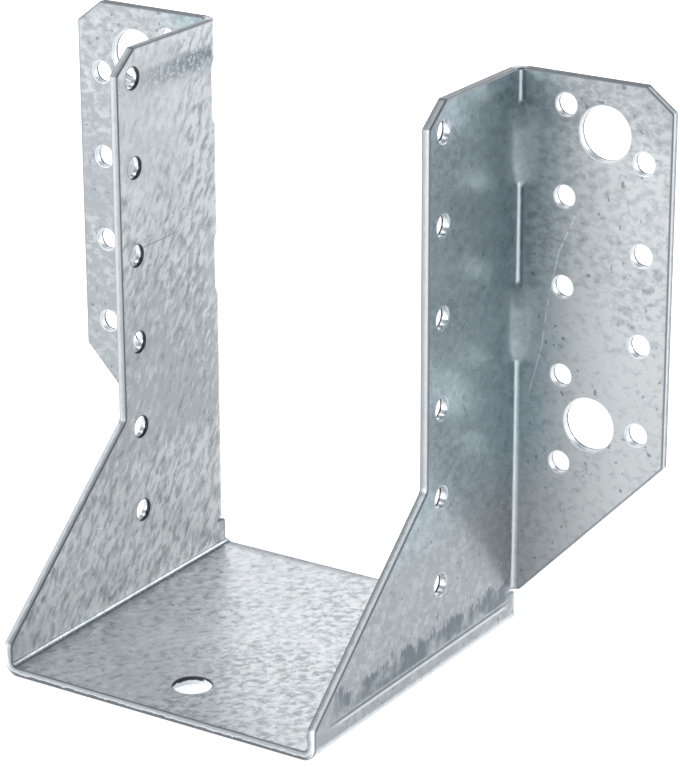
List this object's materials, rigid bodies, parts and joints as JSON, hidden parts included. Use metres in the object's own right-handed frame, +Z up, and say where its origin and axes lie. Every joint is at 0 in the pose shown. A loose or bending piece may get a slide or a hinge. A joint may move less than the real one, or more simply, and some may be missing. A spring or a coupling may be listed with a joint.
{
  "type": "joist hanger",
  "caption": "Folded sheet-steel joist hanger: a U-shaped pocket with seat and cheeks, outward nailing flanges, nail and bolt holes and stiffening darts in the bends.",
  "frame": {"origin": "under the middle of the footprint, on the plane of the seat's underside", "axes": "+X across the joist from cheek to cheek, +Y along the joist towards the header, +Z up"},
  "size_m": [0.152, 0.082, 0.128],
  "materials": {
    "galvanised_sheet": "hot-dip galvanised, dull spangle"
  },
  "bodies": {
    "root": {"joist_hanger": "galvanised_sheet"}
  },
  "joints": []
}
